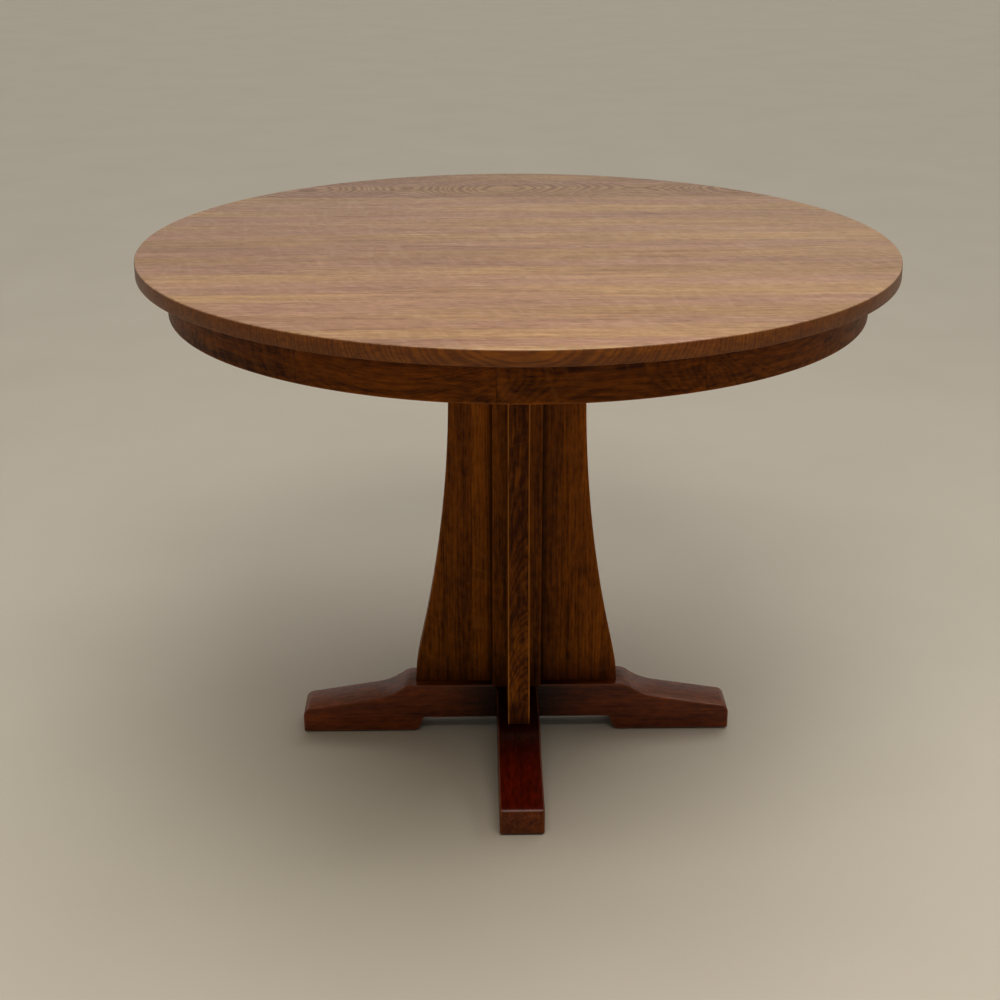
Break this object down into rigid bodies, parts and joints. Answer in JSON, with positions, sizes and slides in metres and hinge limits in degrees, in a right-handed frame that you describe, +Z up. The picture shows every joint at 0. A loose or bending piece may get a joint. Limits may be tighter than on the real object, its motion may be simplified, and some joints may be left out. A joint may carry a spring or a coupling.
{
  "type": "round pedestal table",
  "caption": "Round dining table with a solid wood top and curved apron on a square post with hollow-edged wings and crossed, arched foot beams.",
  "frame": {"origin": "on the floor, under the middle of the centre post", "axes": "+Z up through the post, +X to the right-hand foot beam's toe and along the grain of the top, -Y to the front"},
  "size_m": [1.067, 1.0669, 0.766],
  "materials": {
    "top_wood": "quartersawn oak, medium brown stain, satin lacquer",
    "apron_wood": "oak, medium brown stain, satin lacquer",
    "pedestal_wood": "oak, medium brown stain, satin lacquer",
    "foot_wood": "oak, medium brown stain, satin lacquer",
    "plain_wood": "unstained hardwood, sealed",
    "zinc_steel": "zinc plated",
    "glide_nylon": "brown nylon"
  },
  "bodies": {
    "root": {"top_board_1": "top_wood", "top_board_2": "top_wood", "top_board_3": "top_wood", "top_board_4": "top_wood", "top_board_5": "top_wood", "top_board_6": "top_wood", "top_board_7": "top_wood", "top_board_8": "top_wood", "top_board_9": "top_wood", "top_board_10": "top_wood", "apron_segment_1": "apron_wood", "apron_segment_2": "apron_wood", "apron_segment_3": "apron_wood", "apron_segment_4": "apron_wood", "apron_segment_5": "apron_wood", "apron_segment_6": "apron_wood", "apron_segment_7": "apron_wood", "apron_segment_8": "apron_wood", "apron_segment_9": "apron_wood", "apron_segment_10": "apron_wood", "apron_segment_11": "apron_wood", "apron_segment_12": "apron_wood", "glue_block_1": "plain_wood", "glue_block_2": "plain_wood", "glue_block_3": "plain_wood", "glue_block_4": "plain_wood", "glue_block_5": "plain_wood", "glue_block_6": "plain_wood", "glue_block_7": "plain_wood", "glue_block_8": "plain_wood", "right_wing_spline": "plain_wood", "back_wing_spline": "plain_wood", "left_wing_spline": "plain_wood", "front_wing_spline": "plain_wood", "side_cleat": "plain_wood", "front_cleat": "plain_wood", "wing_dowels": "plain_wood", "centre_post": "pedestal_wood", "right_wing_inner_board": "pedestal_wood", "back_wing_inner_board": "pedestal_wood", "left_wing_inner_board": "pedestal_wood", "front_wing_inner_board": "pedestal_wood", "right_wing_outer_board": "pedestal_wood", "back_wing_outer_board": "pedestal_wood", "left_wing_outer_board": "pedestal_wood", "front_wing_outer_board": "pedestal_wood", "side_foot_beam": "foot_wood", "front_foot_beam": "foot_wood", "tie_rod": "zinc_steel", "tie_rod_washers": "zinc_steel", "tie_rod_nuts": "zinc_steel", "lag_screws": "zinc_steel", "lag_washers": "zinc_steel", "cleat_screws": "zinc_steel", "block_screws": "zinc_steel", "glide_nails": "zinc_steel", "glide_pads": "glide_nylon"}
  },
  "joints": []
}
